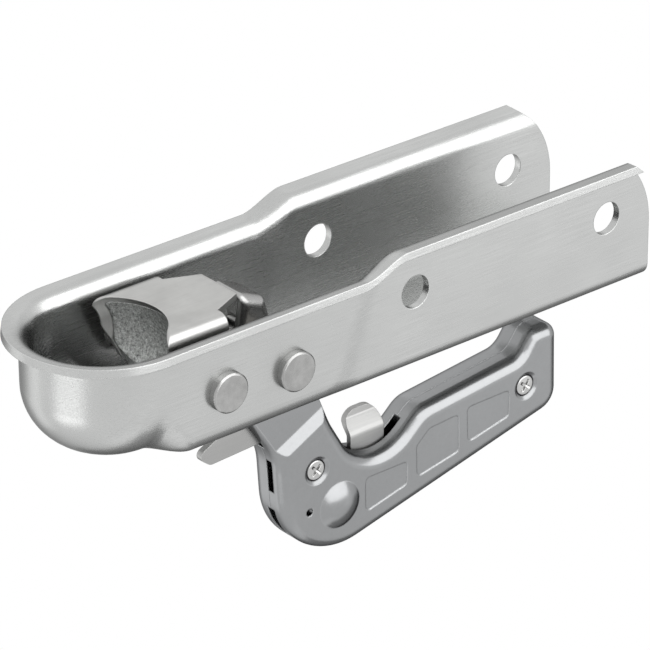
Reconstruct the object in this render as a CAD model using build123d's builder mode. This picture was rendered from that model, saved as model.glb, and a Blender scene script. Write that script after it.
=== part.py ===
from build123d import *
import os

os.makedirs("parts", exist_ok=True)

# Trailer ball coupler, in millimetres, as it rides on the tow ball.
# The origin is the centre of the tow ball, +X runs back to the drawbar, +Z is up.

# Tow ball, sheet and channel
ball_r = 25.0
cup_play = 0.3
sheet = 3.0
crown_z = 28.5
web_z = 29.5
drawbar_width = 50.0
rear_wall_y = drawbar_width / 2
nose_wall_r = 26.5
crown_bend_r = 19.5
nose_bend_r = 5.0
rear_bend_r = 2.5
blend_length = 15.0
channel_end_x = 224.0
end_corner_r = 35.0
end_corner_z = 6.5

# Flange round the mouth
flange_reach = 35.0
flange_bend_r = 6.5
flange_droop = 0.14
nose_rim_z = -15.3
rear_rim_z = -21.0

# Joggle between the wide nose and the narrow rear channel
joggle_x = 88.6
joggle_lean = 0.35
joggle_length = 16.0

# Bolt holes for the drawbar
bolt_hole_r = 6.25
bolt_x = 113.0
bolt_spacing = 90.0
bolt_z = -0.5

# Pivots
jaw_pin_x = 28.0
jaw_pin_z = 8.4
jaw_pin_r = 3.9
lever_pin_x = 57.3
lever_pin_z = 10.3
lever_pin_r = 5.0
pin_head_r = 7.4
pin_head_h = 3.0
pin_head_chamfer = 0.6
washer_r = 8.5
washer_h = 1.4
running_gap = 0.05
side_gap = 0.25

# Slot in the web for the lever
slot_front_x = 37.0
slot_rear_x = 95.0
slot_half_y = 9.6
slot_corner_r = 5.0

# Jaw
jaw_half_y = 21.2
jaw_sheet = 2.5
jaw_bend_r = 2.0
jaw_front_x = 7.5
jaw_front_lean = 0.5
jaw_front_r = 4.5
jaw_flat_z = -13.9
jaw_cheek_x = 36.0
jaw_eye_r = 8.0
tongue_root_y = 16.0
tongue_end_x = 48.6
tongue_end_y = 9.6

# Lever yoke
yoke_half_y = 9.6
yoke_sheet = 2.5
yoke_bend_r = 2.0
yoke_eye_r = 9.5
arm_half_y = 4.9
arm_start_z = 19.0
arm_joggle = 5.0
cam_front_x = 51.3
cam_front_z = -12.0
cam_rear_x = 62.4
cam_rear_z = -7.3

# Handle
handle_half_y = 9.0
handle_edge_r = 4.8
handle_wall = 3.0
side_wall = 2.3
neck_half_y = 7.1
neck_inside_y = 5.1
neck_bottom_z = 31.0
neck_ramp = 4.6
screw_r = 2.0
screw_head_r = 3.9
screw_head_h = 2.0
screw_sink = 0.4
screw_dish_r = 5.6
screw_boss_r = 4.6
front_screw_x = 84.1
front_screw_z = 68.2
rear_screw_x = 183.0
rear_screw_z = 68.2
cross_pin_r = 2.5
cross_pin_x = 71.0
cross_pin_z = 50.0
cross_pin_half = 6.3

# Catch with its finger tab
catch_x = 94.3
catch_z = 85.5
catch_pin_r = 2.5
catch_pin_half = 7.6
catch_eye_r = 6.0
catch_sheet = 2.2
tab_front_x = 106.0
tab_width = 15.5
tab_end_z = 57.5
tab_corner_r = 6.0
tab_lean = 4.4
boss_r = 9.0
boss_height = 3.0


def smooth(t):
    """Ease from 0 to 1 with level ends."""
    return t * t * (3 - 2 * t)


def mix(a, b, t):
    return a + (b - a) * t


def hat_points(wall_y, top_z, rim_z):
    """Corners of half a hat section along the middle of the sheet, from the top centre to the flange edge."""
    mid_y = wall_y + sheet / 2
    mid_rim = rim_z + sheet / 2
    drop = flange_droop * (flange_reach - mid_y)
    return [(0, top_z - sheet / 2), (mid_y, top_z - sheet / 2), (mid_y, mid_rim + drop), (flange_reach, mid_rim)]


def rim_bend(wall_y):
    """Radius of the flange bend along the middle of the sheet, no more than the flange is wide."""
    return min(flange_bend_r - sheet / 2, flange_reach - wall_y - sheet / 2)


def channel_section(x, wall_y, inner_bend, top_z, rim_z):
    """Whole hat section of the pressed channel, standing at x."""
    half = hat_points(wall_y, top_z, rim_z)
    left = [(-y, z) for y, z in reversed(half[1:])]
    web_r = inner_bend + sheet / 2
    rim_r = rim_bend(wall_y)
    with BuildSketch(Plane.YZ.offset(x)) as section:
        with BuildLine():
            FilletPolyline(*left, *half[1:], radius=[rim_r, web_r, web_r, rim_r])
        trace(line_width=sheet)
    return section.sketch


# Nose: half a revolved hat section
with BuildPart() as nose:
    with BuildSketch(Plane.YZ):
        with BuildLine():
            FilletPolyline(
                *hat_points(nose_wall_r, crown_z, nose_rim_z),
                radius=[crown_bend_r + sheet / 2, rim_bend(nose_wall_r)],
            )
        trace(line_width=sheet)
    revolve(axis=Axis.Z, revolution_arc=180)

# Blend from the round crown to the flat web
blend_steps = 5
with BuildPart() as blend:
    for i in range(blend_steps):
        t = i / (blend_steps - 1)
        add(
            channel_section(
                t * blend_length,
                nose_wall_r,
                mix(crown_bend_r, nose_bend_r, smooth(t)),
                mix(crown_z, web_z, smooth(t)),
                nose_rim_z,
            )
        )
    loft()

# Joggle: the walls step in and the rim steps down, leaning forward towards the web
joggle_steps = 6
with BuildPart() as joggle_upright:
    for i in range(joggle_steps):
        t = i / (joggle_steps - 1)
        add(
            channel_section(
                (t - 0.5) * joggle_length,
                mix(nose_wall_r, rear_wall_y, smooth(t)),
                mix(nose_bend_r, rear_bend_r, smooth(t)),
                web_z,
                mix(nose_rim_z, rear_rim_z, smooth(t)),
            )
        )
    loft()
lean = Matrix([[1, 0, -joggle_lean, joggle_x], [0, 1, 0, 0], [0, 0, 1, 0], [0, 0, 0, 1]])
joggle_leaning = joggle_upright.solid().transform_geometry(lean)
lean_direction = Vector(1, 0, joggle_lean).normalized()
joggle_front = Plane(origin=(joggle_x - joggle_length / 2, 0, 0), z_dir=lean_direction)
joggle_rear = Plane(origin=(joggle_x + joggle_length / 2, 0, 0), z_dir=lean_direction)

with BuildPart() as nose_channel:
    add(channel_section(blend_length, nose_wall_r, nose_bend_r, web_z, nose_rim_z))
    extrude(amount=joggle_x + joggle_length - blend_length, dir=(1, 0, 0))
    split(bisect_by=joggle_front, keep=Keep.BOTTOM)

with BuildPart() as rear_channel:
    add(channel_section(channel_end_x, rear_wall_y, rear_bend_r, web_z, rear_rim_z))
    extrude(amount=channel_end_x - joggle_x + joggle_length, dir=(-1, 0, 0))
    split(bisect_by=joggle_rear, keep=Keep.TOP)

with BuildPart() as coupling_body:
    add(nose.part)
    add(blend.part)
    add(nose_channel.part)
    add(joggle_leaning)
    add(rear_channel.part)
    # rounded rear end of both walls
    corner_drop = end_corner_z - rear_rim_z + sheet
    with BuildSketch(Plane.XZ):
        with Locations((channel_end_x - end_corner_r, end_corner_z)):
            Rectangle(end_corner_r + sheet, corner_drop, align=(Align.MIN, Align.MAX))
            Circle(end_corner_r, mode=Mode.SUBTRACT)
    extrude(amount=2 * flange_reach, both=True, mode=Mode.SUBTRACT)
    # bolt holes and pin holes across both walls
    with BuildSketch(Plane.XZ):
        with Locations((bolt_x, bolt_z), (bolt_x + bolt_spacing, bolt_z)):
            Circle(bolt_hole_r)
        with Locations((jaw_pin_x, jaw_pin_z)):
            Circle(jaw_pin_r + running_gap)
        with Locations((lever_pin_x, lever_pin_z)):
            Circle(lever_pin_r + running_gap)
    extrude(amount=2 * flange_reach, both=True, mode=Mode.SUBTRACT)
    # slot for the lever in the web
    with BuildSketch(Plane.XY.offset(web_z - 2 * sheet)):
        with Locations(((slot_front_x + slot_rear_x) / 2, 0)):
            RectangleRounded(slot_rear_x - slot_front_x, 2 * slot_half_y, slot_corner_r)
    extrude(amount=3 * sheet, mode=Mode.SUBTRACT)
coupling_body.part.label = "coupling_body"
export_step(coupling_body.part, "parts/coupling_body.step")

wall_outer_y = nose_wall_r + sheet


def cross_plane(y):
    """Plane across the coupler at y, with local x along +X, local y along +Z and its normal along -Y."""
    return Plane.XZ.offset(-y)


def make_pin(x, z, r):
    """Riveted pivot pin: flat head on the left wall, shank, riveted end over a washer on the right wall."""
    with BuildPart() as pin:
        with BuildSketch(cross_plane(wall_outer_y + pin_head_h)):
            with Locations((x, z)):
                Circle(pin_head_r)
        extrude(amount=pin_head_h)
        chamfer(pin.edges().filter_by(GeomType.CIRCLE).sort_by(Axis.Y)[-1], pin_head_chamfer)
        with BuildSketch(cross_plane(wall_outer_y)):
            with Locations((x, z)):
                Circle(r)
        extrude(amount=2 * wall_outer_y + washer_h)
        with BuildSketch(cross_plane(-wall_outer_y - washer_h)):
            with Locations((x, z)):
                Circle(pin_head_r - 1)
        extrude(amount=pin_head_h)
        fillet(pin.edges().filter_by(GeomType.CIRCLE).sort_by(Axis.Y)[0], pin_head_h * 0.6)
    return pin.part


jaw_pin = make_pin(jaw_pin_x, jaw_pin_z, jaw_pin_r)
jaw_pin.label = "jaw_pin"
export_step(jaw_pin, "parts/jaw_pin.step")

lever_pin = make_pin(lever_pin_x, lever_pin_z, lever_pin_r)
lever_pin.label = "lever_pin"
export_step(lever_pin, "parts/lever_pin.step")


def make_ring(x, z, hole_r, outer_r, y_start, width):
    """Ring round a cross pin, from y_start towards -Y by its width."""
    with BuildPart() as ring:
        with BuildSketch(cross_plane(y_start)):
            with Locations((x, z)):
                Circle(outer_r)
                Circle(hole_r + running_gap, mode=Mode.SUBTRACT)
        extrude(amount=width)
    return ring.part


with BuildPart() as pin_washers:
    add(make_ring(jaw_pin_x, jaw_pin_z, jaw_pin_r, washer_r, -wall_outer_y, washer_h))
    add(make_ring(lever_pin_x, lever_pin_z, lever_pin_r, washer_r, -wall_outer_y, washer_h))
pin_washers.part.label = "pin_washers"
export_step(pin_washers.part, "parts/pin_washers.step")

# Spacers that keep the jaw and the lever in the middle of the channel
spacer_wall = 2.6
jaw_spacer_width = nose_wall_r - jaw_half_y - 2 * side_gap
with BuildPart() as jaw_spacers:
    spacer_r = jaw_pin_r + spacer_wall
    add(make_ring(jaw_pin_x, jaw_pin_z, jaw_pin_r, spacer_r, nose_wall_r - side_gap, jaw_spacer_width))
    add(make_ring(jaw_pin_x, jaw_pin_z, jaw_pin_r, spacer_r, -jaw_half_y - side_gap, jaw_spacer_width))
jaw_spacers.part.label = "jaw_spacers"
export_step(jaw_spacers.part, "parts/jaw_spacers.step")

lever_spacer_width = nose_wall_r - yoke_half_y - 2 * side_gap
sleeve_wall = 1.5
lever_spacer = make_ring(
    lever_pin_x, lever_pin_z, lever_pin_r, lever_pin_r + spacer_wall, -yoke_half_y - side_gap, lever_spacer_width
)
lever_spacer.label = "lever_spacer"
export_step(lever_spacer, "parts/lever_spacer.step")

spring_sleeve = make_ring(
    lever_pin_x, lever_pin_z, lever_pin_r, lever_pin_r + sleeve_wall, nose_wall_r - side_gap, lever_spacer_width
)
spring_sleeve.label = "spring_sleeve"
export_step(spring_sleeve, "parts/spring_sleeve.step")

# Bush between the two cheeks of the yoke
yoke_inside_y = yoke_half_y - yoke_sheet
lever_bush = make_ring(
    lever_pin_x, lever_pin_z, lever_pin_r, lever_pin_r + sleeve_wall, yoke_inside_y - side_gap,
    2 * (yoke_inside_y - side_gap),
)
lever_bush.label = "lever_bush"
export_step(lever_bush, "parts/lever_bush.step")

# Torsion spring round the sleeve, one leg under the yoke, one leg along the web
wire_r = 1.1
coil_turns = 4
coil_r = lever_pin_r + sleeve_wall + wire_r + 0.4
coil_pitch = 2 * wire_r + 0.5
coil_start_y = yoke_half_y + side_gap + 2 * wire_r
leg_end_x = lever_pin_x + 6.0
leg_end_z = -9.0
with BuildPart() as lever_spring:
    with BuildLine():
        coil = Helix(
            pitch=coil_pitch,
            height=coil_pitch * coil_turns,
            radius=coil_r,
            center=(lever_pin_x, coil_start_y, lever_pin_z),
            direction=(0, 1, 0),
        )
    with BuildSketch(Plane(origin=coil @ 0, z_dir=coil % 0)):
        Circle(wire_r)
    sweep(is_frenet=True)
    for end, heading, length in ((0, -1, 19.0), (1, 1, 12.0)):
        with BuildSketch(Plane(origin=coil @ end, z_dir=(coil % end) * heading)):
            Circle(wire_r)
        extrude(amount=length)
lever_spring.part.label = "lever_spring"
export_step(lever_spring.part, "parts/lever_spring.step")

# Jaw: a folded cover over a cast seat, both hollowed by the ball
cup_r = ball_r + cup_play
jaw_top_z = jaw_pin_z + jaw_eye_r


def jaw_front(z):
    """X of the leaning front edge of the jaw at height z."""
    return jaw_front_x + jaw_front_lean * (z - jaw_flat_z)


with BuildPart() as jaw_cover:
    # folded U section, trimmed to its side outline
    with BuildSketch(Plane.YZ):
        with BuildLine():
            fold_y = jaw_half_y - jaw_sheet / 2
            fold_z = jaw_flat_z + jaw_sheet / 2
            FilletPolyline(
                (-fold_y, jaw_top_z + jaw_sheet),
                (-fold_y, fold_z),
                (fold_y, fold_z),
                (fold_y, jaw_top_z + jaw_sheet),
                radius=jaw_bend_r + jaw_sheet / 2,
            )
        trace(line_width=jaw_sheet)
    extrude(amount=2 * jaw_cheek_x, dir=(1, 0, 0))
    with BuildSketch(Plane.XZ) as side_outline:
        with BuildLine():
            Polyline(
                (jaw_front_x, jaw_flat_z),
                (jaw_cheek_x, jaw_flat_z),
                (jaw_pin_x + jaw_eye_r, jaw_pin_z),
                (jaw_pin_x, jaw_pin_z),
                (jaw_front(jaw_top_z - jaw_eye_r / 2), jaw_top_z - jaw_eye_r / 2),
                close=True,
            )
        make_face()
        front_corner = [v for v in side_outline.vertices() if abs(v.X - jaw_front_x) < 0.01]
        fillet(front_corner, jaw_front_r)
        with Locations((jaw_pin_x, jaw_pin_z)):
            Circle(jaw_eye_r)
    extrude(amount=jaw_half_y, both=True, mode=Mode.INTERSECT)
    # tongue behind the cheeks
    with BuildSketch(Plane.XY.offset(jaw_flat_z)):
        with BuildLine():
            Polyline(
                (jaw_cheek_x - jaw_bend_r, -tongue_root_y),
                (tongue_end_x, -tongue_end_y),
                (tongue_end_x, tongue_end_y),
                (jaw_cheek_x - jaw_bend_r, tongue_root_y),
                close=True,
            )
        make_face()
    extrude(amount=jaw_sheet)
    with BuildSketch(Plane.XZ):
        with Locations((jaw_pin_x, jaw_pin_z)):
            Circle(jaw_pin_r + running_gap)
    extrude(amount=2 * jaw_half_y, both=True, mode=Mode.SUBTRACT)
    Sphere(cup_r, mode=Mode.SUBTRACT)
jaw_cover.part.label = "jaw_cover"
export_step(jaw_cover.part, "parts/jaw_cover.step")

# Cast seat between the cheeks
seat_half_y = jaw_half_y - jaw_sheet - running_gap
seat_rear_x = 43.0
seat_top_z = 16.5
seat_corner_r = 2.0
seat_step = 7.0
seat_floor_z = jaw_flat_z + jaw_sheet + running_gap
tail_slope = (tongue_root_y - tongue_end_y) / (tongue_end_x - jaw_cheek_x)
tail_y = tongue_root_y - tail_slope * (seat_rear_x - jaw_cheek_x) - 1
with BuildPart() as jaw_seat:
    with BuildSketch(Plane.XZ):
        with BuildLine():
            FilletPolyline(
                (jaw_front(seat_floor_z), seat_floor_z),
                (seat_rear_x, seat_floor_z),
                (seat_rear_x, seat_floor_z + seat_step),
                (jaw_pin_x + jaw_eye_r, seat_top_z),
                (jaw_front(seat_top_z), seat_top_z),
                close=True,
                radius=seat_corner_r,
            )
        make_face()
    extrude(amount=seat_half_y, both=True)
    # rounded edges that lie in the bends of the cover
    seat_edges = jaw_seat.edges().filter_by(
        lambda e: abs(abs(e.center().Y) - seat_half_y) < 0.01 and e.center().Z < seat_floor_z + 0.01
    )
    fillet(seat_edges, jaw_bend_r)
    # narrow tail that follows the tongue
    with BuildSketch(Plane.XY.offset(seat_floor_z - 1)):
        for side in (1, -1):
            with BuildLine():
                Polyline(
                    (jaw_cheek_x - 1, side * 2 * jaw_half_y),
                    (jaw_cheek_x - 1, side * (tongue_root_y - 1)),
                    (seat_rear_x, side * tail_y),
                    (seat_rear_x + seat_step, side * tail_y),
                    (seat_rear_x + seat_step, side * 2 * jaw_half_y),
                    close=True,
                )
            make_face()
    extrude(amount=seat_top_z - seat_floor_z + 2, mode=Mode.SUBTRACT)
    with BuildSketch(Plane.XZ):
        with Locations((jaw_pin_x, jaw_pin_z)):
            Circle(jaw_pin_r + running_gap)
    extrude(amount=2 * jaw_half_y, both=True, mode=Mode.SUBTRACT)
    Sphere(cup_r, mode=Mode.SUBTRACT)
jaw_seat.part.label = "jaw_seat"
export_step(jaw_seat.part, "parts/jaw_seat.step")

# Yoke: a folded U whose web is the cam behind the tongue, with two arms up into the handle
cam = Vector(cam_rear_x - cam_front_x, cam_rear_z - cam_front_z).normalized()
cam_up = Vector(-cam.Y, cam.X) * yoke_sheet
cam_front = Vector(cam_front_x, cam_front_z)
cam_rear = Vector(cam_rear_x, cam_rear_z)
arm_z = arm_start_z + arm_joggle
yoke_top_z = 74.5
yoke_outline = [
    (cam_front_x, cam_front_z),
    (cam_rear_x, cam_rear_z),
    (lever_pin_x + yoke_eye_r, lever_pin_z - 2),
    (lever_pin_x + yoke_eye_r, lever_pin_z + 3),
    (79.0, 32.0),
    (84.0, 48.0),
    (90.0, 63.0),
    (88.5, yoke_top_z),
    (77.5, yoke_top_z),
    (73.5, 60.0),
    (64.4, 46.0),
    (55.8, 30.0),
    (lever_pin_x - yoke_eye_r, lever_pin_z + 4),
    (lever_pin_x - yoke_eye_r, lever_pin_z - 4),
]
with BuildPart() as lever_yoke:
    with BuildSketch(Plane.XZ):
        with BuildLine():
            FilletPolyline(*yoke_outline, close=True, radius=1.5)
        make_face()
    extrude(amount=yoke_half_y, both=True)
    cam_edges = lever_yoke.edges().filter_by(
        lambda e: e.geom_type == GeomType.LINE
        and abs(abs(e.center().Y) - yoke_half_y) < 0.01
        and abs(e.center().X - (cam_front_x + cam_rear_x) / 2) < 1
        and abs(e.center().Z - (cam_front_z + cam_rear_z) / 2) < 1
    )
    fillet(cam_edges, yoke_bend_r + yoke_sheet - 0.2)
    # room between the cheeks above the cam
    with BuildSketch(Plane.XZ):
        with BuildLine():
            low_front = cam_front + cam_up - cam * yoke_eye_r
            low_rear = cam_rear + cam_up + cam * yoke_eye_r
            Polyline(
                (low_front.X, low_front.Y),
                (low_rear.X, low_rear.Y),
                (low_rear.X, arm_start_z),
                (low_front.X, arm_start_z),
                close=True,
            )
        make_face()
    extrude(amount=yoke_half_y - yoke_sheet, both=True, mode=Mode.SUBTRACT)
    # arms step inwards where they enter the handle
    with BuildSketch(Plane.YZ):
        with BuildLine():
            Polyline(
                (yoke_half_y - yoke_sheet, lever_pin_z),
                (yoke_half_y - yoke_sheet, arm_start_z),
                (arm_half_y - yoke_sheet, arm_z),
                (arm_half_y - yoke_sheet, 2 * yoke_top_z),
                (yoke_sheet - arm_half_y, 2 * yoke_top_z),
                (yoke_sheet - arm_half_y, arm_z),
                (yoke_sheet - yoke_half_y, arm_start_z),
                (yoke_sheet - yoke_half_y, lever_pin_z),
                close=True,
            )
        make_face()
        for side in (1, -1):
            with BuildLine():
                Polyline(
                    (side * yoke_half_y, arm_start_z),
                    (side * arm_half_y, arm_z),
                    (side * arm_half_y, 2 * yoke_top_z),
                    (side * 2 * yoke_half_y, 2 * yoke_top_z),
                    (side * 2 * yoke_half_y, arm_start_z),
                    close=True,
                )
            make_face()
    extrude(amount=2 * lever_pin_x, mode=Mode.SUBTRACT)
    with BuildSketch(Plane.XZ):
        with Locations((lever_pin_x, lever_pin_z)):
            Circle(lever_pin_r + running_gap)
        with Locations((cross_pin_x, cross_pin_z)):
            Circle(cross_pin_r + running_gap)
        with Locations((front_screw_x, front_screw_z)):
            Circle(screw_r + running_gap)
    extrude(amount=2 * yoke_half_y, both=True, mode=Mode.SUBTRACT)
lever_yoke.part.label = "lever_yoke"
export_step(lever_yoke.part, "parts/lever_yoke.step")

# Pointer: a flat finger on the cross pin, out over the crown
pointer_sheet = 2.6
pointer_front_x = 38.4
pointer_low_z = 45.0
pointer_high_z = 53.2
pointer_tip_r = 3.4
with BuildPart() as pointer:
    with BuildSketch(Plane.XZ.offset(-pointer_sheet / 2)):
        with BuildLine():
            FilletPolyline(
                (pointer_front_x - 2, pointer_high_z - 3.6),
                (pointer_front_x + 7, pointer_low_z),
                (cross_pin_x + 3, pointer_low_z - 0.4),
                (cross_pin_x + 6, cross_pin_z + 4),
                (cross_pin_x - 6, pointer_high_z),
                (pointer_front_x + 4, pointer_high_z + 1),
                close=True,
                radius=[pointer_tip_r * 0.7, pointer_tip_r, 2, 2, 2, pointer_tip_r],
            )
        make_face()
        with Locations((cross_pin_x, cross_pin_z)):
            Circle(cross_pin_r + running_gap, mode=Mode.SUBTRACT)
    extrude(amount=pointer_sheet)
pointer.part.label = "pointer"
export_step(pointer.part, "parts/pointer.step")

collar_r = cross_pin_r + 1.6
collar_width = arm_half_y - yoke_sheet - pointer_sheet / 2 - 2 * running_gap
with BuildPart() as pointer_collars:
    add(make_ring(cross_pin_x, cross_pin_z, cross_pin_r, collar_r, arm_half_y - yoke_sheet - running_gap, collar_width))
    add(make_ring(cross_pin_x, cross_pin_z, cross_pin_r, collar_r, -pointer_sheet / 2 - running_gap, collar_width))
pointer_collars.part.label = "pointer_collars"
export_step(pointer_collars.part, "parts/pointer_collars.step")


def make_rod(x, z, r, half_length, rim):
    """Plain cross pin with chamfered ends."""
    with BuildPart() as rod:
        with BuildSketch(Plane.XZ):
            with Locations((x, z)):
                Circle(r)
        extrude(amount=half_length, both=True)
        chamfer(rod.edges().filter_by(GeomType.CIRCLE), rim)
    return rod.part


cross_pin = make_rod(cross_pin_x, cross_pin_z, cross_pin_r, cross_pin_half - running_gap, 0.4)
cross_pin.label = "cross_pin"
export_step(cross_pin, "parts/cross_pin.step")

catch_pin = make_rod(catch_x, catch_z, catch_pin_r, catch_pin_half - running_gap, 0.4)
catch_pin.label = "catch_pin"
export_step(catch_pin, "parts/catch_pin.step")

# Handle: two cast half shells that meet at Y = 0
grip_slope = 0.2295
grip_top_x = 104.3
grip_top_z = 102.6
tail_x = 199.4
ramp_x = 89.5
ramp_z = 48.7
ramp_slope = 0.5
slot_half = 1.8


def grip_top(x):
    return grip_top_z - grip_slope * (x - grip_top_x)


handle_corners = [
    (36.6, neck_bottom_z - 21),
    (68.1, 58.5),
    (71.6, grip_top(71.6)),
    (tail_x, grip_top(tail_x)),
    (tail_x - 0.6, 47.4),
    (187.0, 47.4),
    (180.7, 56.0),
    (133.7, 61.0),
    (109.2, 82.4),
    (92.2, 52.5),
    (75.3, neck_bottom_z - 21),
]
handle_radii = [6, 25, 28, 9, 5, 5.5, 8, 12, 18.4, 40, 8]

with BuildSketch(Plane.XZ) as handle_side:
    with BuildLine():
        FilletPolyline(*handle_corners, close=True, radius=handle_radii)
    make_face()

with BuildSketch(Plane.XZ) as handle_inside:
    add(handle_side.sketch)
    offset(amount=-handle_wall)

# Ramp on each side where the narrow neck grows to the width of the grip
ramp_along = Vector(1, 0, -ramp_slope).normalized()
ramp_up = Vector(ramp_slope, 0, 1).normalized()
ramp_foot = Vector(ramp_x, 0, ramp_z) - ramp_up * neck_ramp
reach = tail_x - ramp_x
rise = (handle_half_y - neck_half_y) / neck_ramp


def make_neck_cut(half_y):
    """Tool that thins both sides of the neck down to half_y, up to the foot of the ramp."""
    with BuildPart() as cut:
        with BuildSketch(Plane(origin=ramp_foot - ramp_along * reach, x_dir=(0, 1, 0), z_dir=ramp_along)):
            for side in (1, -1):
                with BuildLine():
                    Polyline(
                        (side * half_y, -reach),
                        (side * half_y, 0),
                        (side * (half_y + reach * rise), reach),
                        (side * (half_y + reach * rise), -reach),
                        close=True,
                    )
                make_face()
        extrude(amount=2 * reach)
    return cut.part


# Room inside both shells, around the screw posts, the catch bosses and the spring seat
grip_inside_y = handle_half_y - side_wall
catch_boss_r = 4.8
catch_half_y = catch_sheet / 2
return_x = 110.0
return_seat_z = 95.0
return_seat_half = 4.5
with BuildPart() as handle_room:
    add(handle_inside.sketch)
    extrude(amount=grip_inside_y, both=True, dir=(0, 1, 0))
    add(make_neck_cut(neck_inside_y), mode=Mode.SUBTRACT)
    for side in (1, -1):
        with BuildSketch(cross_plane(side * (arm_half_y + running_gap))):
            with Locations((front_screw_x, front_screw_z)):
                Circle(screw_boss_r)
        extrude(amount=-side * grip_inside_y, mode=Mode.SUBTRACT)
        with BuildSketch(cross_plane(side * (catch_half_y + side_gap))):
            with Locations((catch_x, catch_z)):
                Circle(catch_boss_r)
        extrude(amount=-side * grip_inside_y, mode=Mode.SUBTRACT)
    with BuildSketch(Plane.XZ):
        with Locations((rear_screw_x, rear_screw_z)):
            Circle(screw_boss_r)
        with Locations((return_x, return_seat_z)):
            Rectangle(2 * return_seat_half, 10, align=(Align.CENTER, Align.MIN))
    extrude(amount=2 * grip_inside_y, both=True, mode=Mode.SUBTRACT)

# Openings through the walls of the handle
tab_slot_front = 103.0
tab_slot_rear = 129.0
tab_slot_half = 1.8
tab_slot_top_z = 78.5
arm_slot_front = 74.0
arm_slot_rear = 96.0
arm_slot_top_z = 63.0
mouth_half = pointer_sheet / 2 + side_gap
thread_end_y = handle_half_y - 1.0
head_seat_y = handle_half_y - screw_sink - screw_head_h
boss_sphere_r = (boss_r**2 + boss_height**2) / (2 * boss_height)
with BuildPart() as boss_cap:
    with Locations((catch_x, handle_half_y + boss_height - boss_sphere_r, catch_z)):
        Sphere(boss_sphere_r)
    split(bisect_by=cross_plane(handle_half_y - 0.5), keep=Keep.BOTTOM)

with BuildPart() as handle_form:
    add(handle_side.sketch)
    extrude(amount=handle_half_y, both=True, dir=(0, 1, 0))
    rim_edges = handle_form.edges().filter_by(
        lambda e: abs(abs(e.center().Y) - handle_half_y) < 0.01 and e.center().Z > neck_bottom_z - 15
    )
    fillet(rim_edges, handle_edge_r)
    split(bisect_by=Plane.XY.offset(neck_bottom_z), keep=Keep.TOP)
    add(make_neck_cut(neck_half_y), mode=Mode.SUBTRACT)
    # round bosses over the ends of the catch pin
    add(boss_cap.part)
    mirror(boss_cap.part, about=Plane.XZ)
    add(handle_room.part, mode=Mode.SUBTRACT)
    # slot for the finger tab, slot for the arm of the catch, mouth of the pointer
    with BuildSketch(Plane.XZ):
        with Locations((tab_slot_front, tab_slot_top_z)):
            Rectangle(tab_slot_rear - tab_slot_front, tab_slot_top_z - tab_end_z, align=(Align.MIN, Align.MAX))
        with Locations((arm_slot_front, arm_slot_top_z)):
            Rectangle(arm_slot_rear - arm_slot_front, arm_slot_top_z - neck_bottom_z + 1, align=(Align.MIN, Align.MAX))
    extrude(amount=tab_slot_half, both=True, mode=Mode.SUBTRACT)
    with BuildSketch(Plane.XZ):
        with Locations((slot_front_x, pointer_low_z - 1.5)):
            Rectangle(cross_pin_x - slot_front_x, pointer_high_z - pointer_low_z + 4, align=(Align.MIN, Align.MIN))
    extrude(amount=mouth_half, both=True, mode=Mode.SUBTRACT)
    # two narrow openings in the front: one beside the parting line, one lower on it
    with BuildSketch(cross_plane(3.0)):
        with BuildLine():
            Polyline((64.0, 61.5), (74.5, 61.5), (76.5, 74.5), (66.0, 74.5), close=True)
        make_face()
    extrude(amount=3.2, mode=Mode.SUBTRACT)
    with BuildSketch(Plane.XZ):
        with BuildLine():
            Polyline((66.0, 83.0), (76.5, 80.5), (84.5, 89.5), (77.5, 96.0), close=True)
        make_face()
    extrude(amount=2.0, both=True, mode=Mode.SUBTRACT)
    # blind bores for the cross pin and the catch pin
    with BuildSketch(Plane.XZ):
        with Locations((cross_pin_x, cross_pin_z)):
            Circle(cross_pin_r + running_gap)
    extrude(amount=cross_pin_half, both=True, mode=Mode.SUBTRACT)
    with BuildSketch(Plane.XZ):
        with Locations((catch_x, catch_z)):
            Circle(catch_pin_r + running_gap)
    extrude(amount=catch_pin_half, both=True, mode=Mode.SUBTRACT)
    # pocket for the collars beside the pointer
    with BuildSketch(Plane.XZ):
        with Locations((cross_pin_x, cross_pin_z)):
            Circle(collar_r + side_gap)
    extrude(amount=arm_half_y - yoke_sheet, both=True, mode=Mode.SUBTRACT)
    # screw holes: dished and counterbored through the left shell, blind in the right shell
    with BuildSketch(cross_plane(handle_half_y)):
        with Locations((front_screw_x, front_screw_z), (rear_screw_x, rear_screw_z)):
            Circle(screw_dish_r)
    extrude(amount=(screw_dish_r - screw_head_r - 0.3) / 1.6, taper=58, mode=Mode.SUBTRACT)
    with BuildSketch(cross_plane(handle_half_y + boss_height)):
        with Locations((front_screw_x, front_screw_z), (rear_screw_x, rear_screw_z)):
            Circle(screw_head_r + 0.3)
    extrude(amount=handle_half_y + boss_height - head_seat_y, mode=Mode.SUBTRACT)
    with BuildSketch(cross_plane(handle_half_y)):
        with Locations((front_screw_x, front_screw_z), (rear_screw_x, rear_screw_z)):
            Circle(screw_r + running_gap)
    extrude(amount=handle_half_y + thread_end_y, mode=Mode.SUBTRACT)
    # small drain hole in the left shell
    with BuildSketch(cross_plane(handle_half_y + boss_height)):
        with Locations((80.5, 83.7)):
            Circle(1.5)
    extrude(amount=2 * side_wall + boss_height, mode=Mode.SUBTRACT)

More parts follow.
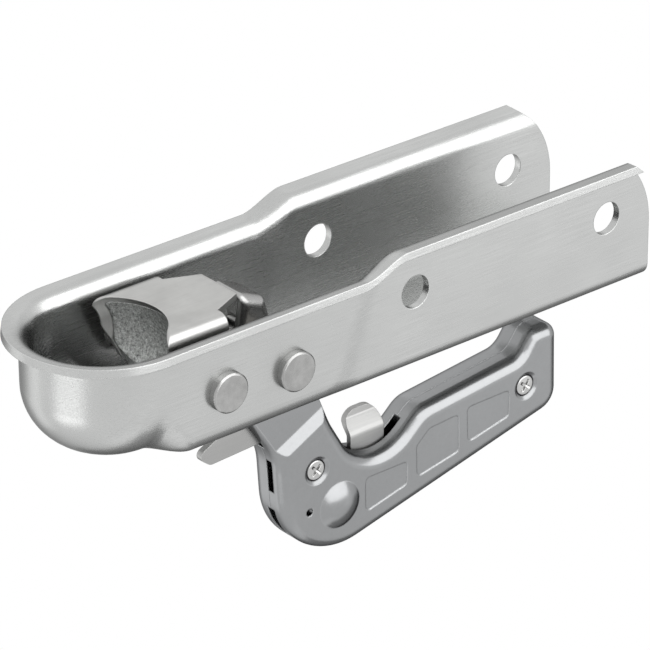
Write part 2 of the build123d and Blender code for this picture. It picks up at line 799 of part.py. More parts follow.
# Shallow bare panels on the left face
panel_depth = 0.35
panels = [
    [(106.4, 79.2), (106.4, 93.0), (125.9, 88.5), (126.1, 79.2)],
    [(130.3, 74.6), (130.6, 87.4), (150.6, 83.7), (150.4, 68.5), (136.5, 69.4)],
    [(154.4, 67.2), (154.8, 81.7), (174.7, 77.6), (174.9, 67.0)],
]
with BuildPart() as handle_shell_left:
    add(handle_form.part)
    split(bisect_by=Plane.XZ, keep=Keep.BOTTOM)
    with BuildSketch(cross_plane(handle_half_y)):
        for corners in panels:
            with BuildLine():
                FilletPolyline(*corners, close=True, radius=2.0)
            make_face()
    extrude(amount=panel_depth, mode=Mode.SUBTRACT)
handle_shell_left.part.label = "handle_shell_left"
export_step(handle_shell_left.part, "parts/handle_shell_left.step")

with BuildPart() as handle_shell_right:
    add(handle_form.part)
    split(bisect_by=Plane.XZ, keep=Keep.TOP)
handle_shell_right.part.label = "handle_shell_right"
export_step(handle_shell_right.part, "parts/handle_shell_right.step")


def make_screw(x, z):
    """Pan head screw with a cross recess, put in from the left."""
    recess_length = 4.2
    recess_width = 0.9
    recess_depth = 1.2
    with BuildPart() as screw:
        with BuildSketch(cross_plane(head_seat_y + screw_head_h)):
            with Locations((x, z)):
                Circle(screw_head_r)
        extrude(amount=screw_head_h)
        fillet(screw.edges().filter_by(GeomType.CIRCLE).sort_by(Axis.Y)[-1], screw_head_h * 0.5)
        with BuildSketch(cross_plane(head_seat_y)):
            with Locations((x, z)):
                Circle(screw_r)
        extrude(amount=head_seat_y + thread_end_y - 0.5)
        with BuildSketch(cross_plane(head_seat_y + screw_head_h)):
            with Locations((x, z)):
                Rectangle(recess_length, recess_width, rotation=25)
                Rectangle(recess_length, recess_width, rotation=115)
        extrude(amount=recess_depth, mode=Mode.SUBTRACT)
    return screw.part


handle_screw_front = make_screw(front_screw_x, front_screw_z)
handle_screw_front.label = "handle_screw_front"
export_step(handle_screw_front, "parts/handle_screw_front.step")

handle_screw_rear = make_screw(rear_screw_x, rear_screw_z)
handle_screw_rear.label = "handle_screw_rear"
export_step(handle_screw_rear, "parts/handle_screw_rear.step")

# Finger catch: a steel plate on the catch pin with a curled tab and an arm down into the web slot
return_low_z = 88.0
spigot_half = 1.2
spigot_h = 3.0
tab_top_z = 76.0
with BuildPart() as finger_tab:
    # curled to the side at its end, with rounded corners
    with BuildSketch(Plane.YZ.offset(tab_front_x)):
        with BuildLine():
            FilletPolyline(
                (0, tab_top_z),
                (0, tab_end_z + 8.0),
                (-0.9 * tab_lean, tab_end_z + 3.0),
                (-tab_lean, tab_end_z - 1),
                radius=2.5,
            )
        trace(line_width=catch_sheet)
    extrude(amount=tab_width, dir=(1, 0, 0))
    with BuildSketch(Plane.XZ):
        with Locations((tab_front_x, tab_end_z)):
            RectangleRounded(
                tab_width, tab_top_z - tab_end_z + 2 * tab_corner_r, tab_corner_r, align=(Align.MIN, Align.MIN)
            )
    extrude(amount=2 * tab_lean, both=True, mode=Mode.INTERSECT)

with BuildPart() as finger_catch:
    with BuildSketch(Plane.XZ):
        with Locations((catch_x, catch_z)):
            Circle(catch_eye_r)
        with BuildLine():
            FilletPolyline(
                (catch_x, catch_z + catch_eye_r - 0.5),
                (return_x - return_seat_half, return_low_z),
                (tab_front_x + tab_width, return_low_z),
                (tab_front_x + tab_width, tab_top_z - 1),
                (tab_front_x, tab_top_z - 1),
                (tab_front_x - 2, 78.5),
                (catch_x, catch_z - catch_eye_r + 0.5),
                close=True,
                radius=0.4,
            )
        make_face()
        with BuildLine():
            FilletPolyline(
                (catch_x - catch_eye_r + 0.6, catch_z),
                (88.2, 71.0),
                (84.8, 53.0),
                (82.8, 38.0),
                (83.0, 25.0),
                (87.0, 25.0),
                (87.6, 38.0),
                (89.6, 53.0),
                (93.2, 69.0),
                (catch_x + catch_eye_r - 0.8, catch_z),
                close=True,
                radius=0.8,
            )
        make_face()
        # spigot for the return spring
        with Locations((return_x, return_low_z - 1)):
            Rectangle(2 * spigot_half, spigot_h + 1, align=(Align.CENTER, Align.MIN))
        with Locations((catch_x, catch_z)):
            Circle(catch_pin_r + running_gap, mode=Mode.SUBTRACT)
    extrude(amount=catch_half_y, both=True)
    add(finger_tab.part)
finger_catch.part.label = "finger_catch"
export_step(finger_catch.part, "parts/finger_catch.step")

# Return spring of the catch, between its shoulder and the seat in the shells
return_wire_r = 0.4
return_coil_r = 2.5
return_turns = 5
return_gap = 0.05
with BuildPart() as catch_spring:
    with BuildLine():
        return_height = return_seat_z - return_low_z - 2 * return_wire_r - 2 * return_gap
        return_coil = Helix(
            pitch=return_height / return_turns,
            height=return_height,
            radius=return_coil_r,
            center=(return_x, 0, return_low_z + return_wire_r + return_gap),
        )
    with BuildSketch(Plane(origin=return_coil @ 0, z_dir=return_coil % 0)):
        Circle(return_wire_r)
    sweep(is_frenet=True)
catch_spring.part.label = "catch_spring"
export_step(catch_spring.part, "parts/catch_spring.step")
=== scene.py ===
"""Looks of the trailer ball coupler: finishes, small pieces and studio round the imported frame."""

import math

import bpy
import numpy as np
from bpy.props import FloatProperty, FloatVectorProperty, PointerProperty
from mathutils import Matrix, Vector


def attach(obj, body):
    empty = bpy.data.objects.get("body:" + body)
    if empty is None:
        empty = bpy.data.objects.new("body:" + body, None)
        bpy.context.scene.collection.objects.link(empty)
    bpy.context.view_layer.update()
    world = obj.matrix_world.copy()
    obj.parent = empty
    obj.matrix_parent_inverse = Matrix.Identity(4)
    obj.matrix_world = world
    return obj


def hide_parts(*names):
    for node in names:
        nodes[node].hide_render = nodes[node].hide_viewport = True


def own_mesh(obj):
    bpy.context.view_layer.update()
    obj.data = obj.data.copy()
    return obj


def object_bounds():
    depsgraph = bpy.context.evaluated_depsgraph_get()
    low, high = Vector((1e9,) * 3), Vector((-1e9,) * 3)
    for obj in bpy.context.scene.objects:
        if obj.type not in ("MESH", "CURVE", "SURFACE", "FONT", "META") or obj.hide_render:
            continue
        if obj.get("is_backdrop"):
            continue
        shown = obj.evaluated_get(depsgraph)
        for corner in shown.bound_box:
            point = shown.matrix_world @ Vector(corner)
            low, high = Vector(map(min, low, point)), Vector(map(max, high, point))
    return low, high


bl_info = {
    "name": "Trailer Ball Coupler",
    "version": (1, 0, 0),
    "blender": (4, 5, 0),
    "location": "View3D > Sidebar > Coupler",
    "description": "Dresses the packed trailer ball coupler with its finishes, small details and studio",
    "category": "Object",
}

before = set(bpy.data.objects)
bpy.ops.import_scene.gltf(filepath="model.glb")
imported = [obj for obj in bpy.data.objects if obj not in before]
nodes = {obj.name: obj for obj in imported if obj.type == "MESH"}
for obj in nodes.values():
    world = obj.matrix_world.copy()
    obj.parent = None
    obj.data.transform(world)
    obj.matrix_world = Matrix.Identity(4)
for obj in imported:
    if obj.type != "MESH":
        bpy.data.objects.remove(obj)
cad_low, cad_high = (list(corner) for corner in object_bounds())

# Axes and place of the camera in the coupler's frame. The photograph shows the coupler upside down.
CAMERA_RIGHT = Vector((0.76971142, 0.63837036, 0.00525504))
CAMERA_UP = Vector((0.29549846, -0.3489747, -0.88932408))
CAMERA_BACK = Vector((-0.56588426, 0.68607576, -0.45724727))
CAMERA_PLACE = Vector((-0.79575363, 1.08040460, -0.70248362))
SENSOR_WIDTH = 36.0

# Middle of the coupler, which the lamps and the card face, and the rear of its near wall
MIDDLE = Vector((0.095, 0.0, 0.035))
REAR_WALL = Vector((0.23, 0.03, 0.0))

# Fill lamp above the coupler and the grey card, from the middle
FILL_OFFSET = Vector((0.15, 0.35, 1.1))
CARD_DIRECTION = Vector((0.56, -0.12, 0.82))
CARD_DISTANCE = 0.8

# Holds down the reflection at grazing angles, which bare plating does not lift to white
GRAZING_TINT = (0.3, 0.3, 0.3, 1.0)

# Bend at which an edge of a new piece stays sharp
SHARP_ANGLE = math.radians(40)

# Nodes that are turned from bar
TURNED_NODES = (
    "jaw_pin", "lever_pin", "pin_washers", "jaw_spacers", "lever_spacer", "spring_sleeve", "lever_bush",
    "pointer_collars", "cross_pin", "catch_pin",
)

# Screws of the handle: end of the grip, place along X and turn of the cross in radians
SCREWS = (("front", 0.0841, 0.8), ("rear", 0.183, 0.65))
SCREW_LEVEL = 0.0682


# Settings


def colour_setting(name, description, default):
    """Colour with one value each for red, green and blue."""
    return FloatVectorProperty(
        name=name, description=description, subtype="COLOR", size=3, min=0.0, max=1.0, default=default
    )


class CouplerFinishSettings(bpy.types.PropertyGroup):
    """Colours and surface of the metals."""

    zinc_colour: colour_setting(
        "Zinc colour", "Colour of the bright zinc plating on the pressed sheet", (0.505, 0.51, 0.505)
    )
    jaw_colour: colour_setting("Jaw colour", "Colour of the plated cover of the jaw", (0.50, 0.50, 0.49))
    lever_colour: colour_setting(
        "Lever colour", "Colour of the plated yoke, pointer and finger catch", (0.40, 0.40, 0.395)
    )
    casting_colour: colour_setting(
        "Handle colour", "Colour of the satin plated handle castings", (0.31, 0.315, 0.32)
    )
    seat_colour: colour_setting("Seat colour", "Colour of the rough cast seat in the jaw", (0.55, 0.56, 0.55))
    pin_colour: colour_setting("Pin colour", "Colour of the pins, washers and spacers", (0.38, 0.38, 0.375))
    wire_colour: colour_setting("Wire colour", "Colour of the drawn wire of the springs", (0.34, 0.33, 0.31))
    screw_colour: colour_setting("Screw colour", "Colour of the screws of the handle", (0.52, 0.52, 0.515))
    sheet_roughness: FloatProperty(
        name="Sheet roughness",
        description="Mean roughness of the plated sheet",
        subtype="FACTOR",
        min=0.0,
        max=1.0,
        default=0.27,
    )
    grain_length: FloatProperty(
        name="Grain length",
        description="Length of the rolling scratches along the sheet",
        subtype="DISTANCE",
        unit="LENGTH",
        min=0.001,
        default=0.02,
    )


class CouplerStudioSettings(bpy.types.PropertyGroup):
    """Camera, lamps, card and floor."""

    lens: FloatProperty(
        name="Focal length",
        description="Focal length of the camera in millimetres",
        min=10.0,
        default=249.23,
    )
    lamp_level: FloatProperty(
        name="Lamp level",
        description="Brightness of the soft lamps on the camera's side, where 1 is the white surroundings",
        min=0.0,
        default=1.3,
    )
    fill_level: FloatProperty(
        name="Fill level",
        description="Brightness of the soft lamp above the coupler, where 1 is the white surroundings",
        min=0.0,
        default=0.15,
    )
    sky_strength: FloatProperty(
        name="Sky strength",
        description="Strength of the plain surroundings as light",
        min=0.0,
        default=0.9,
    )
    card_tone: FloatProperty(
        name="Card tone",
        description="Brightness of the grey card above the coupler, which only its metal reflects",
        min=0.0,
        default=0.4,
    )
    card_size: FloatProperty(
        name="Card size",
        description="Side of the grey card",
        subtype="DISTANCE",
        unit="LENGTH",
        min=0.1,
        default=1.0,
    )
    floor_size: FloatProperty(
        name="Floor size",
        description="Side of the pale floor",
        subtype="DISTANCE",
        unit="LENGTH",
        min=0.5,
        default=6.0,
    )


# Shader kit


def node_group(name, inputs, outputs):
    """Empty shader group with named sockets: inputs as (name, type, default), outputs as (name, type)."""
    group = bpy.data.node_groups.new(name, "ShaderNodeTree")
    for label, kind, default in inputs:
        socket = group.interface.new_socket(name=label, in_out="INPUT", socket_type=kind)
        if default is not None:
            socket.default_value = default
    for label, kind in outputs:
        group.interface.new_socket(name=label, in_out="OUTPUT", socket_type=kind)
    return group, group.nodes.new("NodeGroupInput").outputs, group.nodes.new("NodeGroupOutput").inputs


def add_node(tree, kind, links=None, **settings):
    """New node; settings are its properties, links its input sockets by name or number."""
    node = tree.nodes.new(kind)
    for key, value in settings.items():
        setattr(node, key, value)
    for key, value in (links or {}).items():
        if isinstance(value, bpy.types.NodeSocket):
            tree.links.new(value, node.inputs[key])
        else:
            node.inputs[key].default_value = value
    return node


def calculate(tree, operation, *values, clamp=False):
    """Output of a Math node on numbers or sockets."""
    links = dict(enumerate(values))
    return add_node(tree, "ShaderNodeMath", links, operation=operation, use_clamp=clamp).outputs[0]


def noise(tree, place, scale, detail, roughness=0.5):
    """Output of a noise texture at a place."""
    links = {"Vector": place, "Scale": scale, "Detail": detail, "Roughness": roughness}
    return add_node(tree, "ShaderNodeTexNoise", links).outputs[0]


def ramp(tree, value, start, end, at_start, at_end):
    """Number that goes evenly from at_start to at_end while the value goes from start to end."""
    links = {"Value": value, "From Min": start, "From Max": end, "To Min": at_start, "To Max": at_end}
    return add_node(tree, "ShaderNodeMapRange", links).outputs[0]


def rolled_grain_group():
    """
    Fine scratches that run along X: noise about zero, on coordinates that are squeezed across the rolling
    direction, and fainter in broad patches.
    """
    group, given, result = node_group(
        "rolled_grain",
        [
            ("Vector", "NodeSocketVector", None),
            ("Length", "NodeSocketFloat", 0.02),
            ("Spread", "NodeSocketFloat", 40.0),
        ],
        [("Grain", "NodeSocketFloat")],
    )
    along = calculate(group, "DIVIDE", 1.0, given["Length"])
    across = calculate(group, "MULTIPLY", along, given["Spread"])
    stretch = add_node(group, "ShaderNodeCombineXYZ", {0: along, 1: across, 2: across}).outputs[0]
    place = add_node(
        group, "ShaderNodeVectorMath", {0: given["Vector"], 1: stretch}, operation="MULTIPLY"
    ).outputs[0]
    fine = noise(group, place, scale=1.0, detail=5.0, roughness=0.62)
    broad = noise(group, given["Vector"], scale=28.0, detail=3.0)
    patch = ramp(group, broad, start=0.35, end=0.68, at_start=0.25, at_end=1.0)
    centred = calculate(group, "SUBTRACT", fine, 0.5)
    group.links.new(calculate(group, "MULTIPLY", centred, patch), result["Grain"])
    return group


def mottle_group():
    """Cloudy patches in the plating, about zero, and small dull specks from 0 to 1."""
    group, given, result = node_group(
        "plating_mottle",
        [
            ("Vector", "NodeSocketVector", None),
            ("Cloud Scale", "NodeSocketFloat", 30.0),
            ("Speck Scale", "NodeSocketFloat", 420.0),
        ],
        [("Cloud", "NodeSocketFloat"), ("Speck", "NodeSocketFloat")],
    )
    cloud = noise(group, given["Vector"], scale=given["Cloud Scale"], detail=4.0, roughness=0.55)
    cell = add_node(group, "ShaderNodeTexVoronoi", {"Vector": given["Vector"], "Scale": given["Speck Scale"]})
    speck = ramp(group, cell.outputs["Distance"], start=0.05, end=0.2, at_start=1.0, at_end=0.0)
    group.links.new(calculate(group, "SUBTRACT", cloud, 0.5), result["Cloud"])
    group.links.new(speck, result["Speck"])
    return group


def cast_skin_group():
    """Grainy skin of a casting: two sizes of rounded bumps, together about zero."""
    group, given, result = node_group(
        "cast_skin",
        [("Vector", "NodeSocketVector", None), ("Grain Scale", "NodeSocketFloat", 600.0)],
        [("Skin", "NodeSocketFloat")],
    )
    small = noise(group, given["Vector"], scale=given["Grain Scale"], detail=3.0)
    coarse = calculate(group, "MULTIPLY", given["Grain Scale"], 0.4)
    large = noise(group, given["Vector"], scale=coarse, detail=2.0)
    both = calculate(group, "ADD", small, large)
    group.links.new(calculate(group, "SUBTRACT", both, 1.0), result["Skin"])
    return group


def edge_group():
    """Rounded edges for the eye, and a mask of them for a painted highlight, from how far the bevelled normal
    leaves the true one.
    """
    group, given, result = node_group(
        "edge_bevel_and_highlight_mask",
        [("Radius", "NodeSocketFloat", 0.0005)],
        [("Normal", "NodeSocketVector"), ("Edge", "NodeSocketFloat")],
    )
    bevel = add_node(group, "ShaderNodeBevel", {"Radius": given["Radius"]}, samples=4).outputs[0]
    true = add_node(group, "ShaderNodeNewGeometry").outputs["Normal"]
    match = add_node(group, "ShaderNodeVectorMath", {0: bevel, 1: true}, operation="DOT_PRODUCT")
    # Mask of the edges, where the colour gets a painted highlight
    edge = ramp(group, match.outputs["Value"], start=0.995, end=0.85, at_start=0.0, at_end=1.0)
    group.links.new(bevel, result["Normal"])
    group.links.new(edge, result["Edge"])
    return group


GROUPS = {}


def shared_groups():
    """The four effects that the finishes share, made once."""
    if not GROUPS:
        GROUPS["grain"] = rolled_grain_group()
        GROUPS["mottle"] = mottle_group()
        GROUPS["skin"] = cast_skin_group()
        GROUPS["edge"] = edge_group()
    return GROUPS


def place_group(tree, key, links):
    """Outputs of a shared effect that is placed in a material with its own values."""
    return add_node(tree, "ShaderNodeGroup", links, node_tree=shared_groups()[key]).outputs


def empty_material(name):
    """New material with its output node alone, its node tree and its surface socket."""
    material = bpy.data.materials.new(name)
    material.use_nodes = True
    tree = material.node_tree
    tree.nodes.clear()
    output = tree.nodes.new("ShaderNodeOutputMaterial")
    return material, tree, output.inputs["Surface"]


def metal_finish(
    name, colour, roughness, grain=0.0, mottle=0.0, skin=0.0, painted_edge_highlight=0.25, edge_radius=0.0005,
    grain_length=0.02, grain_scale=600.0, dull_specks=0.0,
):
    """
    Plated metal. Grain, clouds, cast skin and specks add up to a swing about zero. The colour is scaled by
    one plus the swing plus a painted highlight on edges, the roughness falls by a part of the swing, and
    grain and skin are felt as relief.
    """
    rough_swing = 0.25
    material, tree, surface = empty_material(name)
    shader = add_node(tree, "ShaderNodeBsdfPrincipled", {"Metallic": 1.0, "Specular Tint": GRAZING_TINT})
    tree.links.new(shader.outputs[0], surface)
    place = tree.nodes.new("ShaderNodeTexCoord").outputs["Object"]
    lines = place_group(tree, "grain", {"Vector": place, "Length": grain_length})
    clouds = place_group(tree, "mottle", {"Vector": place})
    cast = place_group(tree, "skin", {"Vector": place, "Grain Scale": grain_scale})
    edge = place_group(tree, "edge", {"Radius": edge_radius})
    scratches = calculate(tree, "MULTIPLY", lines["Grain"], grain)
    clouded = calculate(tree, "MULTIPLY_ADD", clouds["Cloud"], mottle, scratches)
    grainy = calculate(tree, "MULTIPLY_ADD", cast["Skin"], skin, clouded)
    swing = calculate(tree, "MULTIPLY_ADD", clouds["Speck"], -dull_specks, grainy)
    tone = calculate(tree, "ADD", swing, 1.0)
    # Painted highlight: the colour is lifted along the bevelled edges
    tone_with_painted_highlight = calculate(tree, "MULTIPLY_ADD", edge["Edge"], painted_edge_highlight, tone)
    tinted = add_node(tree, "ShaderNodeVectorMath", {0: tuple(colour), "Scale": tone_with_painted_highlight}, operation="SCALE")
    tree.links.new(tinted.outputs[0], shader.inputs["Base Color"])
    worn = calculate(tree, "MULTIPLY_ADD", swing, -rough_swing, roughness, clamp=True)
    tree.links.new(worn, shader.inputs["Roughness"])
    relief = calculate(tree, "MULTIPLY_ADD", cast["Skin"], skin, scratches)
    bump = add_node(
        tree,
        "ShaderNodeBump",
        {"Height": relief, "Normal": edge["Normal"], "Strength": 0.35, "Distance": 0.0004},
    )
    tree.links.new(bump.outputs[0], shader.inputs["Normal"])
    return material


def spring_wire(name, colour):
    """Drawn steel wire of a spring."""
    return metal_finish(name, colour, roughness=0.3, mottle=0.4, painted_edge_highlight=0.0)


def coat_node(name, material):
    """Gives a CAD node's slots one material."""
    node = nodes[name]
    if not node.material_slots:
        node.data.materials.append(material)
    for slot in node.material_slots:
        slot.material = material


# Pieces


def link_object(name, data):
    """New object of the scene for a mesh, lamp or camera."""
    item = bpy.data.objects.new(name, data)
    bpy.context.scene.collection.objects.link(item)
    return item


def grid_mesh(name, rings, material):
    """Closed mesh of a stack of rings, given as (ring, point, xyz), with a flat cap at either end."""
    count, around = rings.shape[:2]
    here = np.arange(count - 1)[:, None] * around + np.arange(around)
    beside = np.roll(here, -1, axis=1)
    quads = np.stack((here, beside, beside + around, here + around), axis=-1).reshape(-1, 4)
    first = np.arange(around)[::-1]
    last = np.arange(around) + (count - 1) * around
    mesh = bpy.data.meshes.new(name)
    mesh.from_pydata(rings.reshape(-1, 3).tolist(), [], quads.tolist() + [first.tolist(), last.tolist()])
    mesh.materials.append(material)
    mesh.shade_smooth()
    mesh.set_sharp_from_angle(angle=SHARP_ANGLE)
    mesh.update()
    return link_object(name, mesh)


def recess_depth(across, up, deepest, reach, half_width, wall_width):
    """
    Depth of a cross recess: deepest times one minus the square of the distance along the arm over its reach,
    times an ease from 0 to 1 over the width of the arm's side walls.
    """
    along = np.maximum(abs(across), abs(up))
    aside = np.minimum(abs(across), abs(up))
    wall = np.clip((half_width - aside) / wall_width + 0.5, 0, 1)
    wall = wall * wall * (3 - 2 * wall)
    return deepest * np.clip(1 - (along / reach) ** 2, 0, 1) * wall


def screw_rings(spot_x, spot_z, turn):
    """
    Rings of a pan screw about an axis along Y. The side is a profile of radius and y: the shank, the seat of
    the head and a quarter circle. The face is a low dome, its height less by the square of the radius, with
    the cross recess taken out of it.
    """
    tip_y, seat_y, top_y = -0.0075, 0.0066, 0.0086
    shank_r, head_r, flat_r = 0.002, 0.0039, 0.0033
    crown = 0.0002
    corner = head_r - flat_r
    around = np.linspace(0, 2 * np.pi, 120, endpoint=False)
    bend = np.linspace(0, np.pi / 2, 7)
    side_r = np.concatenate(([shank_r, shank_r, head_r], flat_r + corner * np.cos(bend)))
    side_y = np.concatenate(([tip_y, seat_y, seat_y], top_y - crown - corner + corner * np.sin(bend)))
    face_r = np.linspace(flat_r, flat_r / 200, 44)[1:]
    spokes = face_r[:, None]
    recess = recess_depth(
        spokes * np.cos(around - turn), spokes * np.sin(around - turn),
        deepest=0.0013, reach=0.0027, half_width=0.00048, wall_width=0.0003,
    )
    face_y = top_y - crown * (spokes / flat_r) ** 2 - recess
    radius = np.concatenate((side_r, face_r))[:, None]
    height = np.concatenate((np.repeat(side_y[:, None], len(around), axis=1), face_y))
    rings = np.stack((radius * np.cos(around), height, radius * np.sin(around)), axis=-1)
    return rings + (spot_x, 0, spot_z)


def coil_rings(spot, low, high, coil_r, wire_r, turns):
    """
    Tube round a helix about the vertical. Each ring of the wire lies in the plane of the radial direction and
    the normal of the radial and the helix's tangent.
    """
    steps_per_turn, sides = 40, 12
    t = np.linspace(0, 1, turns * steps_per_turn + 1)
    angle = 2 * np.pi * turns * t
    level = 0 * t
    radial = np.stack((np.cos(angle), np.sin(angle), level), axis=-1)
    middle = coil_r * radial + np.stack((level, level, low + (high - low) * t), axis=-1)
    climb = level + (high - low) / (2 * np.pi * turns)
    tangent = np.stack((-coil_r * np.sin(angle), coil_r * np.cos(angle), climb), axis=-1)
    tangent /= np.linalg.norm(tangent, axis=1, keepdims=True)
    normal = np.cross(radial, tangent)
    ring = np.linspace(0, 2 * np.pi, sides, endpoint=False)[None, :, None]
    tube = radial[:, None] * np.cos(ring) + normal[:, None] * np.sin(ring)
    return middle[:, None] + wire_r * tube + (spot[0], spot[1], 0)


# Stage


def out_from(start, distance, right, up, back):
    """Place at a distance from a start, in a direction that is given along the camera's own axes."""
    return start + distance * (right * CAMERA_RIGHT + up * CAMERA_UP + back * CAMERA_BACK)


def set_camera(scene, lens):
    """Camera at the photograph's angle and distance."""
    camera = link_object("camera", bpy.data.cameras.new("camera"))
    pose = Matrix((CAMERA_RIGHT, CAMERA_UP, CAMERA_BACK)).transposed().to_4x4()
    pose.translation = CAMERA_PLACE
    camera.matrix_world = pose
    camera.data.lens = lens
    camera.data.sensor_width = SENSOR_WIDTH
    camera.data.clip_start = 0.05
    camera.data.clip_end = 20.0
    scene.camera = camera


def set_surroundings(scene, strength):
    """Plain world: white to the camera and in reflections, and of the given strength as light."""
    white = (1, 1, 1, 1)
    world = bpy.data.worlds.new("surroundings")
    scene.world = world
    world.use_nodes = True
    tree = world.node_tree
    tree.nodes.clear()
    output = tree.nodes.new("ShaderNodeOutputWorld")
    path = tree.nodes.new("ShaderNodeLightPath").outputs
    through = calculate(tree, "MAXIMUM", path["Is Camera Ray"], path["Is Transmission Ray"])
    seen = calculate(tree, "MAXIMUM", through, path["Is Glossy Ray"])
    plain = add_node(tree, "ShaderNodeBackground", {"Color": white, "Strength": 1.0})
    light = add_node(tree, "ShaderNodeBackground", {"Color": white, "Strength": strength})
    choice = add_node(tree, "ShaderNodeMixShader", {0: seen, 1: light.outputs[0], 2: plain.outputs[0]})
    tree.links.new(choice.outputs[0], output.inputs["Surface"])


def soft_lamp(name, spot, wide, tall, radiance):
    """Rectangular lamp that faces the middle of the coupler. Its power is pi times its radiance and area."""
    data = bpy.data.lights.new(name, "AREA")
    data.shape = "RECTANGLE"
    data.size = wide
    data.size_y = tall
    data.energy = radiance * math.pi * wide * tall
    lamp = link_object(name, data)
    lamp.location = spot
    lamp.rotation_euler = (MIDDLE - spot).to_track_quat("-Z", "Y").to_euler()


def set_lamps(level, fill):
    """Five lamps where the sides of the coupler reflect them towards the camera, and one above."""
    key = out_from(MIDDLE, 0.8, right=0.72, up=0.24, back=0.65)
    top = out_from(MIDDLE, 0.9, right=0, up=0.81, back=-0.58)
    left = out_from(MIDDLE, 0.75, right=-0.67, up=-0.68, back=0.31)
    rear_side = out_from(REAR_WALL, 0.5, right=0.876, up=-0.479, back=-0.058)
    far_left = out_from(MIDDLE, 0.75, right=-0.87, up=-0.33, back=-0.36)
    above = MIDDLE + FILL_OFFSET
    soft_lamp("lamp_key", key, wide=1.2, tall=1.2, radiance=1.2 * level)
    soft_lamp("lamp_top", top, wide=0.7, tall=0.7, radiance=0.16 * level)
    soft_lamp("lamp_left", left, wide=0.42, tall=0.14, radiance=level)
    soft_lamp("lamp_rear_side", rear_side, wide=0.22, tall=0.22, radiance=0.1 * level)
    soft_lamp("lamp_far_left", far_left, wide=0.3, tall=0.5, radiance=0.35 * level)
    soft_lamp("lamp_above", above, wide=0.8, tall=0.8, radiance=fill)


def square_sheet(name, corners, material):
    """Flat sheet with four corners."""
    mesh = bpy.data.meshes.new(name)
    mesh.from_pydata([tuple(corner) for corner in corners], [], [(0, 1, 2, 3)])
    mesh.materials.append(material)
    return link_object(name, mesh)


def set_floor(size):
    """Pale floor under the coupler, clear from below so that the camera sees through it."""
    material, tree, surface = empty_material("floor_pale")
    behind = tree.nodes.new("ShaderNodeNewGeometry").outputs["Backfacing"]
    matt = add_node(tree, "ShaderNodeBsdfPrincipled", {"Base Color": (0.82, 0.82, 0.82, 1), "Roughness": 0.9})
    clear = tree.nodes.new("ShaderNodeBsdfTransparent")
    choice = add_node(tree, "ShaderNodeMixShader", {0: behind, 1: matt.outputs[0], 2: clear.outputs[0]})
    tree.links.new(choice.outputs[0], surface)
    half = size / 2
    level = cad_low[2]
    corners = [(-half, -half, level), (half, -half, level), (half, half, level), (-half, half, level)]
    floor = square_sheet("floor", corners, material)
    floor.visible_shadow = False
    floor.visible_diffuse = False
    floor.visible_glossy = False
    floor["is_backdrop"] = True


def set_card(size, tone):
    """Grey card above the coupler, which is seen in its metal and nowhere else."""
    material, tree, surface = empty_material("card_grey")
    glow = add_node(tree, "ShaderNodeEmission", {"Color": (1, 1, 1, 1), "Strength": tone})
    tree.links.new(glow.outputs[0], surface)
    spot = MIDDLE + CARD_DISTANCE * CARD_DIRECTION
    facing = (MIDDLE - spot).to_track_quat("-Z", "Y").to_matrix()
    half = size / 2
    signs = ((-1, -1), (1, -1), (1, 1), (-1, 1))
    corners = [spot + facing @ Vector((half * u, half * v, 0)) for u, v in signs]
    card = square_sheet("grey_card", corners, material)
    card.visible_camera = False
    card.visible_diffuse = False
    card.visible_shadow = False
    card.visible_transmission = False
    card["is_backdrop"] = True


# Operators


class COUPLER_OT_stage(bpy.types.Operator):
    """Camera at the photograph's angle, plain surroundings, lamps, a pale one-sided floor and a grey card"""

    bl_idname = "coupler.stage"
    bl_label = "Stage"

    def execute(self, context):
        studio = context.scene.coupler_studio
        context.scene.view_settings.view_transform = "Standard"
        set_camera(context.scene, studio.lens)
        set_surroundings(context.scene, studio.sky_strength)
        set_lamps(studio.lamp_level, studio.fill_level)
        set_floor(studio.floor_size)
        set_card(studio.card_size, studio.card_tone)
        return {"FINISHED"}


class COUPLER_OT_sheet_finish(bpy.types.Operator):
    """Bright zinc plating on the pressed housing, jaw cover, yoke, pointer and finger catch"""

    bl_idname = "coupler.sheet_finish"
    bl_label = "Sheet finish"

    def execute(self, context):
        finish = context.scene.coupler_finish
        housing = metal_finish(
            "housing_zinc", finish.zinc_colour, finish.sheet_roughness, grain=0.42, mottle=0.2,
            painted_edge_highlight=0.35, edge_radius=0.0005, grain_length=finish.grain_length,
        )
        coat_node("coupling_body", housing)
        jaw = metal_finish(
            "jaw_zinc", finish.jaw_colour, roughness=0.3, grain=0.25, mottle=0.5, skin=0.12, painted_edge_highlight=0.3,
            edge_radius=0.0006, grain_scale=260.0,
        )
        coat_node("jaw_cover", jaw)
        small = metal_finish(
            "lever_zinc", finish.lever_colour, roughness=0.27, grain=0.3, mottle=0.3, painted_edge_highlight=0.3,
            edge_radius=0.0004,
        )
        for name in ("lever_yoke", "pointer"):
            coat_node(name, small)
        catch = metal_finish(
            "catch_plate", finish.lever_colour, roughness=0.42, grain=0.3, mottle=0.3, painted_edge_highlight=0.3,
            edge_radius=0.0004,
        )
        coat_node("finger_catch", catch)
        return {"FINISHED"}


class COUPLER_OT_cast_finish(bpy.types.Operator):
    """Satin plated handle castings and the rough seat of the jaw"""

    bl_idname = "coupler.cast_finish"
    bl_label = "Cast finish"

    def execute(self, context):
        finish = context.scene.coupler_finish
        handle = metal_finish(
            "handle_satin", finish.casting_colour, roughness=0.23, mottle=0.12, skin=0.05, painted_edge_highlight=0.3,
            edge_radius=0.0008, grain_scale=900.0,
        )
        for name in ("handle_shell_left", "handle_shell_right"):
            coat_node(name, handle)
        seat = metal_finish(
            "seat_cast", finish.seat_colour, roughness=0.42, mottle=0.2, skin=1.8, painted_edge_highlight=0.2,
            edge_radius=0.0008, grain_scale=2400.0, dull_specks=0.1,
        )
        coat_node("jaw_seat", seat)
        return {"FINISHED"}


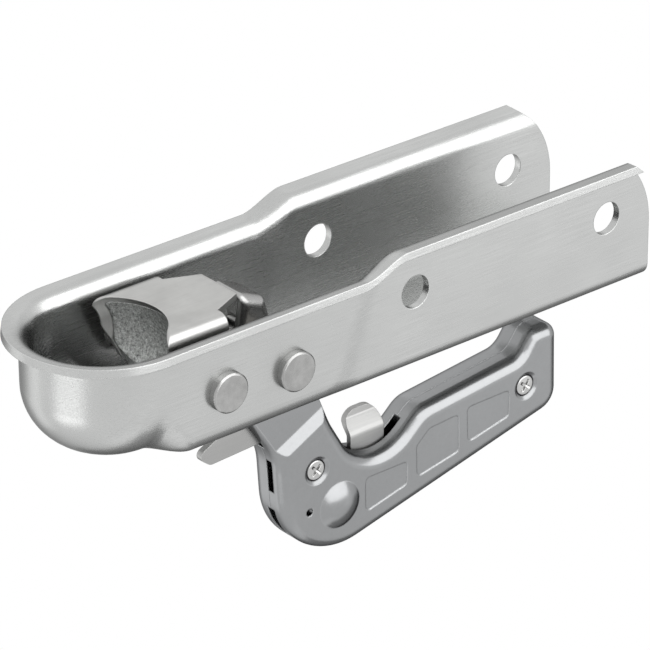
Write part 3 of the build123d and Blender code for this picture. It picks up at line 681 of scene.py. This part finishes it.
class COUPLER_OT_pin_finish(bpy.types.Operator):
    """Turned steel on the pins, washers and spacers, and drawn steel on the lever spring"""

    bl_idname = "coupler.pin_finish"
    bl_label = "Pin finish"

    def execute(self, context):
        finish = context.scene.coupler_finish
        pin = metal_finish(
            "pin_zinc", finish.pin_colour, roughness=0.26, grain=0.1, mottle=0.5, skin=0.4, painted_edge_highlight=0.3,
            edge_radius=0.0005, grain_scale=420.0,
        )
        for name in TURNED_NODES:
            coat_node(name, pin)
        coat_node("lever_spring", spring_wire("spring_wire", finish.wire_colour))
        return {"FINISHED"}


class COUPLER_OT_handle_screws(bpy.types.Operator):
    """Two pan screws with a deep cross recess, in place of the plain ones of the handle"""

    bl_idname = "coupler.handle_screws"
    bl_label = "Handle screws"

    def execute(self, context):
        finish = context.scene.coupler_finish
        metal = metal_finish(
            "screw_zinc", finish.screw_colour, roughness=0.2, mottle=0.3, painted_edge_highlight=0.4, edge_radius=0.0002
        )
        for end, spot_x, turn in SCREWS:
            piece = grid_mesh("screw_" + end, screw_rings(spot_x, SCREW_LEVEL, turn), metal)
            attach(piece, "lever")
            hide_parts("handle_screw_" + end)
        return {"FINISHED"}


class COUPLER_OT_catch_coil(bpy.types.Operator):
    """Return spring of the finger catch, a coil that rides on the lever in place of the plain one"""

    bl_idname = "coupler.catch_coil"
    bl_label = "Catch coil"

    def execute(self, context):
        wire = spring_wire("catch_wire", context.scene.coupler_finish.wire_colour)
        rings = coil_rings(
            spot=(0.1097, 0.0), low=0.0884, high=0.0946, coil_r=0.00256, wire_r=0.00032, turns=5
        )
        piece = grid_mesh("catch_coil", rings, wire)
        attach(piece, "lever")
        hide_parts("catch_spring")
        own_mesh(piece)
        return {"FINISHED"}


class COUPLER_PT_sidebar(bpy.types.Panel):
    """Lists the settings and the steps that dress the coupler"""

    bl_idname = "COUPLER_PT_sidebar"
    bl_label = "Trailer Ball Coupler"
    bl_space_type = "VIEW_3D"
    bl_region_type = "UI"
    bl_category = "Coupler"

    def draw(self, context):
        layout = self.layout
        for settings in (context.scene.coupler_finish, context.scene.coupler_studio):
            column = layout.column(align=True)
            for key in settings.__annotations__:
                column.prop(settings, key)
        for step in STEPS:
            layout.operator(step.bl_idname)


STEPS = (
    COUPLER_OT_stage, COUPLER_OT_sheet_finish, COUPLER_OT_cast_finish, COUPLER_OT_pin_finish,
    COUPLER_OT_handle_screws, COUPLER_OT_catch_coil,
)
CLASSES = (CouplerFinishSettings, CouplerStudioSettings) + STEPS + (COUPLER_PT_sidebar,)


def register():
    for item in CLASSES:
        bpy.utils.register_class(item)
    bpy.types.Scene.coupler_finish = PointerProperty(type=CouplerFinishSettings)
    bpy.types.Scene.coupler_studio = PointerProperty(type=CouplerStudioSettings)


def unregister():
    del bpy.types.Scene.coupler_studio
    del bpy.types.Scene.coupler_finish
    for item in reversed(CLASSES):
        bpy.utils.unregister_class(item)


def main():
    register()
    bpy.ops.coupler.stage()
    bpy.ops.coupler.sheet_finish()
    bpy.ops.coupler.cast_finish()
    bpy.ops.coupler.pin_finish()
    bpy.ops.coupler.handle_screws()
    bpy.ops.coupler.catch_coil()


if __name__ == "__main__":
    main()
